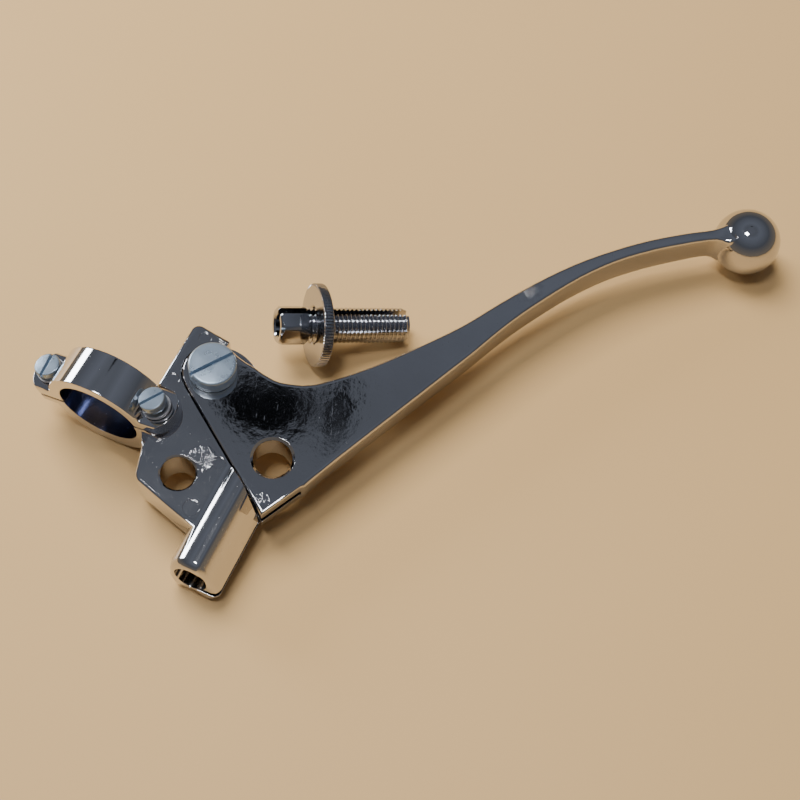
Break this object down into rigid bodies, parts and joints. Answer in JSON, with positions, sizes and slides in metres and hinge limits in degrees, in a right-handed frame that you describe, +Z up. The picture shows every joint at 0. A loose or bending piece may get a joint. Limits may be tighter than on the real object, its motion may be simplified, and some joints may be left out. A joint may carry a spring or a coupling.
{
  "type": "motorcycle clutch lever and perch",
  "caption": "Ball-end clutch lever on a chromed handlebar perch with a two-screw clamp, pivot screw and a loose slotted cable adjuster.",
  "frame": {"origin": "middle of the bounding box on the table that the assembly lies on, so the lowest point is at zero height", "axes": "+X towards the ball end of the lever, +Y away from the cable barrel, +Z up from the table; the lever's pivot axis leans about 9 degrees from +Z"},
  "size_m": [0.206, 0.1286, 0.0314],
  "materials": {
    "perch_chrome": "polished",
    "clamp_chrome": "polished",
    "lever_chrome": "polished",
    "screw_zinc": "satin",
    "pivot_zinc": "satin",
    "washer_zinc": "satin",
    "adjuster_chrome": "polished",
    "ring_chrome": "polished"
  },
  "bodies": {
    "perch": {"perch_casting": "perch_chrome", "pivot_washer": "washer_zinc"},
    "lever": {"lever": "lever_chrome"},
    "cap": {"clamp_cap": "clamp_chrome", "lock_washer_left": "washer_zinc", "lock_washer_right": "washer_zinc"},
    "screw_left": {"clamp_screw_left": "screw_zinc"},
    "screw_right": {"clamp_screw_right": "screw_zinc"},
    "pivot": {"pivot_screw": "pivot_zinc"},
    "nut": {"pivot_lock_nut": "pivot_zinc"},
    "adjuster": {"adjuster_screw": "adjuster_chrome"},
    "ring": {"adjuster_lock_ring": "ring_chrome"}
  },
  "joints": [
    {"name": "lever_swing", "type": "hinge", "parent": "perch", "child": "lever", "pos_m": [-0.05564, -0.00906, 0.02071], "axis": [0.0854, -0.1321, 0.9875], "range_deg": [0, 26]},
    {"name": "clamp_cap_lift", "type": "slide", "parent": "perch", "child": "cap", "axis": [-0.1896, -0.0238, 0.9816], "range_m": [0, 0.006]},
    {"name": "clamp_screw_left_turn", "type": "hinge", "parent": "cap", "child": "screw_left", "pos_m": [-0.09846, -0.01007, 0.01957], "axis": [-0.1896, -0.0238, 0.9816], "range_deg": [0, 3090]},
    {"name": "clamp_screw_right_turn", "type": "hinge", "parent": "cap", "child": "screw_right", "pos_m": [-0.06799, -0.02257, 0.02515], "axis": [-0.1896, -0.0238, 0.9816], "range_deg": [0, 3090]},
    {"name": "pivot_screw_turn", "type": "hinge", "parent": "perch", "child": "pivot", "pos_m": [-0.05607, -0.00839, 0.01577], "axis": [0.0854, -0.1321, 0.9875], "continuous": true},
    {"name": "pivot_nut_turn", "type": "hinge", "parent": "perch", "child": "nut", "pos_m": [-0.05701, -0.00694, 0.0049], "axis": [0.0854, -0.1321, 0.9875], "continuous": true},
    {"name": "adjuster_aside", "type": "slide", "parent": "perch", "child": "adjuster", "axis": [0, 1, 0], "range_m": [0, 0.046]},
    {"name": "lock_ring_turn", "type": "hinge", "parent": "adjuster", "child": "ring", "pos_m": [-0.03074, 0.01388, 0.01158], "axis": [0.929, 0.2576, -0.2656], "continuous": true}
  ],
  "couplings": [
    {"joint": "clamp_screw_left_turn", "follows": "clamp_cap_lift", "rad_per_m": 8976},
    {"joint": "clamp_screw_right_turn", "follows": "clamp_cap_lift", "rad_per_m": 8976},
    {"joint": "adjuster_aside", "follows": "lever_swing", "m_per_rad": 0.1}
  ]
}
